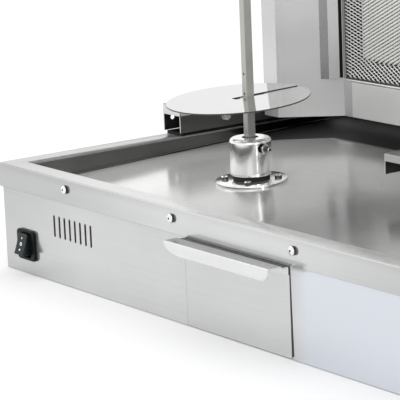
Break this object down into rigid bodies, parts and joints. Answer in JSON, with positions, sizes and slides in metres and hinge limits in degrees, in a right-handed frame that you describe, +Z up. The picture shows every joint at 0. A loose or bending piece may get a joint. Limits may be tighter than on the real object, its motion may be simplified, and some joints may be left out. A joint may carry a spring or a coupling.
{
  "type": "vertical rotisserie broiler",
  "caption": "Twin vertical broiler: turning spits with meat plates over a sunk drip tray with a grease drawer, each facing a sliding burner housing.",
  "frame": {"origin": "centre of the whole object's footprint, on the surface it stands on", "axes": "+X along the front to the right, +Y from the front to the back, +Z up"},
  "size_m": [1.218, 0.74, 0.9],
  "materials": {
    "brushed_stainless": "brushed",
    "polished_stainless": "polished",
    "guard_mesh": "woven wire",
    "black_plastic": "satin",
    "black_rubber": "matte",
    "burner_ceramic": "matte",
    "brass": "satin",
    "zinc_steel": "zinc plated",
    "motor_paint": "satin"
  },
  "bodies": {
    "base": {"base_shell": "brushed_stainless", "base_floor": "zinc_steel", "drip_tray": "brushed_stainless", "foot_front_left": "black_rubber", "foot_front_right": "black_rubber", "foot_rear_left": "black_rubber", "foot_rear_right": "black_rubber", "rear_guard": "brushed_stainless", "centre_rail": "brushed_stainless", "slide_strip_left": "black_plastic", "switch_body_left": "black_plastic", "bearing_flange_left": "polished_stainless", "gear_motor_left": "motor_paint", "slide_strip_right": "black_plastic", "switch_body_right": "black_plastic", "bearing_flange_right": "polished_stainless", "gear_motor_right": "motor_paint"},
    "drawer": {"drawer_front": "brushed_stainless", "drawer_pan": "brushed_stainless", "drawer_handle": "brushed_stainless"},
    "switch_paddle_left": {"rocker_left": "black_plastic"},
    "spindle_left": {"drive_hub_left": "polished_stainless", "spit_gear_left": "zinc_steel"},
    "pinion_left": {"motor_pinion_left": "brass"},
    "hub_screw_left": {"hub_lock_screw_left": "zinc_steel"},
    "spit_left": {"spit_bar_left": "polished_stainless", "bar_shoulder_left": "polished_stainless"},
    "plate_left": {"meat_plate_left": "polished_stainless"},
    "carriage_left": {"heat_shield_left": "polished_stainless", "burner_guard_left": "guard_mesh", "burner_case_left": "brushed_stainless", "burner_lower_left": "burner_ceramic", "burner_upper_left": "burner_ceramic", "gas_manifold_left": "brass", "inner_arm_left": "brushed_stainless", "outer_arm_left": "brushed_stainless", "cross_bar_left": "brushed_stainless"},
    "gas_tap_lower_left": {"gas_knob_lower_left": "black_plastic"},
    "gas_tap_upper_left": {"gas_knob_upper_left": "black_plastic"},
    "arm_screw_left": {"arm_lock_screw_left": "zinc_steel"},
    "switch_paddle_right": {"rocker_right": "black_plastic"},
    "spindle_right": {"drive_hub_right": "polished_stainless", "spit_gear_right": "zinc_steel"},
    "pinion_right": {"motor_pinion_right": "brass"},
    "hub_screw_right": {"hub_lock_screw_right": "zinc_steel"},
    "spit_right": {"spit_bar_right": "polished_stainless", "bar_shoulder_right": "polished_stainless"},
    "plate_right": {"meat_plate_right": "polished_stainless"},
    "carriage_right": {"heat_shield_right": "polished_stainless", "burner_guard_right": "guard_mesh", "burner_case_right": "brushed_stainless", "burner_lower_right": "burner_ceramic", "burner_upper_right": "burner_ceramic", "gas_manifold_right": "brass", "inner_arm_right": "brushed_stainless", "outer_arm_right": "brushed_stainless", "cross_bar_right": "brushed_stainless"},
    "gas_tap_lower_right": {"gas_knob_lower_right": "black_plastic"},
    "gas_tap_upper_right": {"gas_knob_upper_right": "black_plastic"},
    "arm_screw_right": {"arm_lock_screw_right": "zinc_steel"}
  },
  "joints": [
    {"name": "drawer_slide", "type": "slide", "parent": "base", "child": "drawer", "axis": [0, -1, 0], "range_m": [0, 0.32]},
    {"name": "switch_rock_left", "type": "hinge", "parent": "base", "child": "switch_paddle_left", "pos_m": [-0.5395, -0.337, 0.0473], "axis": [1, 0, 0], "range_deg": [0, 34]},
    {"name": "spit_spin_left", "type": "hinge", "parent": "base", "child": "spindle_left", "pos_m": [-0.305, -0.069, 0.18], "axis": [0, 0, 1], "continuous": true},
    {"name": "pinion_spin_left", "type": "hinge", "parent": "base", "child": "pinion_left", "pos_m": [-0.305, 0.003, 0.077], "axis": [0, 0, 1], "continuous": true},
    {"name": "hub_screw_turn_left", "type": "hinge", "parent": "spindle_left", "child": "hub_screw_left", "pos_m": [-0.285, -0.069, 0.197], "axis": [1, 0, 0], "range_deg": [0, 270]},
    {"name": "spit_lift_left", "type": "slide", "parent": "spindle_left", "child": "spit_left", "axis": [0, 0, 1], "range_m": [0, 0.05]},
    {"name": "plate_slide_left", "type": "slide", "parent": "spit_left", "child": "plate_left", "axis": [0.1217, 0.9911, 0.0541], "range_m": [-0.075, 0.0175]},
    {"name": "carriage_slide_left", "type": "slide", "parent": "base", "child": "carriage_left", "axis": [0, -1, 0], "range_m": [0, 0.12]},
    {"name": "gas_tap_lower_turn_left", "type": "hinge", "parent": "carriage_left", "child": "gas_tap_lower_left", "pos_m": [-0.3025, 0.346, 0.405], "axis": [0, 1, 0], "range_deg": [0, 180]},
    {"name": "gas_tap_upper_turn_left", "type": "hinge", "parent": "carriage_left", "child": "gas_tap_upper_left", "pos_m": [-0.3025, 0.346, 0.705], "axis": [0, 1, 0], "range_deg": [0, 180]},
    {"name": "arm_screw_turn_left", "type": "hinge", "parent": "carriage_left", "child": "arm_screw_left", "pos_m": [-0.5605, 0.073, 0.194], "axis": [1, 0, 0], "range_deg": [0, 270]},
    {"name": "switch_rock_right", "type": "hinge", "parent": "base", "child": "switch_paddle_right", "pos_m": [0.5395, -0.337, 0.0473], "axis": [1, 0, 0], "range_deg": [0, 34]},
    {"name": "spit_spin_right", "type": "hinge", "parent": "base", "child": "spindle_right", "pos_m": [0.305, -0.069, 0.18], "axis": [0, 0, 1], "continuous": true},
    {"name": "pinion_spin_right", "type": "hinge", "parent": "base", "child": "pinion_right", "pos_m": [0.305, 0.003, 0.077], "axis": [0, 0, 1], "continuous": true},
    {"name": "hub_screw_turn_right", "type": "hinge", "parent": "spindle_right", "child": "hub_screw_right", "pos_m": [0.325, -0.069, 0.197], "axis": [1, 0, 0], "range_deg": [0, 270]},
    {"name": "spit_lift_right", "type": "slide", "parent": "spindle_right", "child": "spit_right", "axis": [0, 0, 1], "range_m": [0, 0.05]},
    {"name": "plate_slide_right", "type": "slide", "parent": "spit_right", "child": "plate_right", "axis": [0.1217, 0.9911, 0.0541], "range_m": [-0.075, 0.0175]},
    {"name": "carriage_slide_right", "type": "slide", "parent": "base", "child": "carriage_right", "axis": [0, -1, 0], "range_m": [0, 0.12]},
    {"name": "gas_tap_lower_turn_right", "type": "hinge", "parent": "carriage_right", "child": "gas_tap_lower_right", "pos_m": [0.3025, 0.346, 0.405], "axis": [0, 1, 0], "range_deg": [0, 180]},
    {"name": "gas_tap_upper_turn_right", "type": "hinge", "parent": "carriage_right", "child": "gas_tap_upper_right", "pos_m": [0.3025, 0.346, 0.705], "axis": [0, 1, 0], "range_deg": [0, 180]},
    {"name": "arm_screw_turn_right", "type": "hinge", "parent": "carriage_right", "child": "arm_screw_right", "pos_m": [0.5605, 0.073, 0.194], "axis": [-1, 0, 0], "range_deg": [0, 270]}
  ],
  "couplings": [
    {"joint": "pinion_spin_left", "follows": "spit_spin_left", "ratio": -3},
    {"joint": "pinion_spin_right", "follows": "spit_spin_right", "ratio": -3}
  ]
}
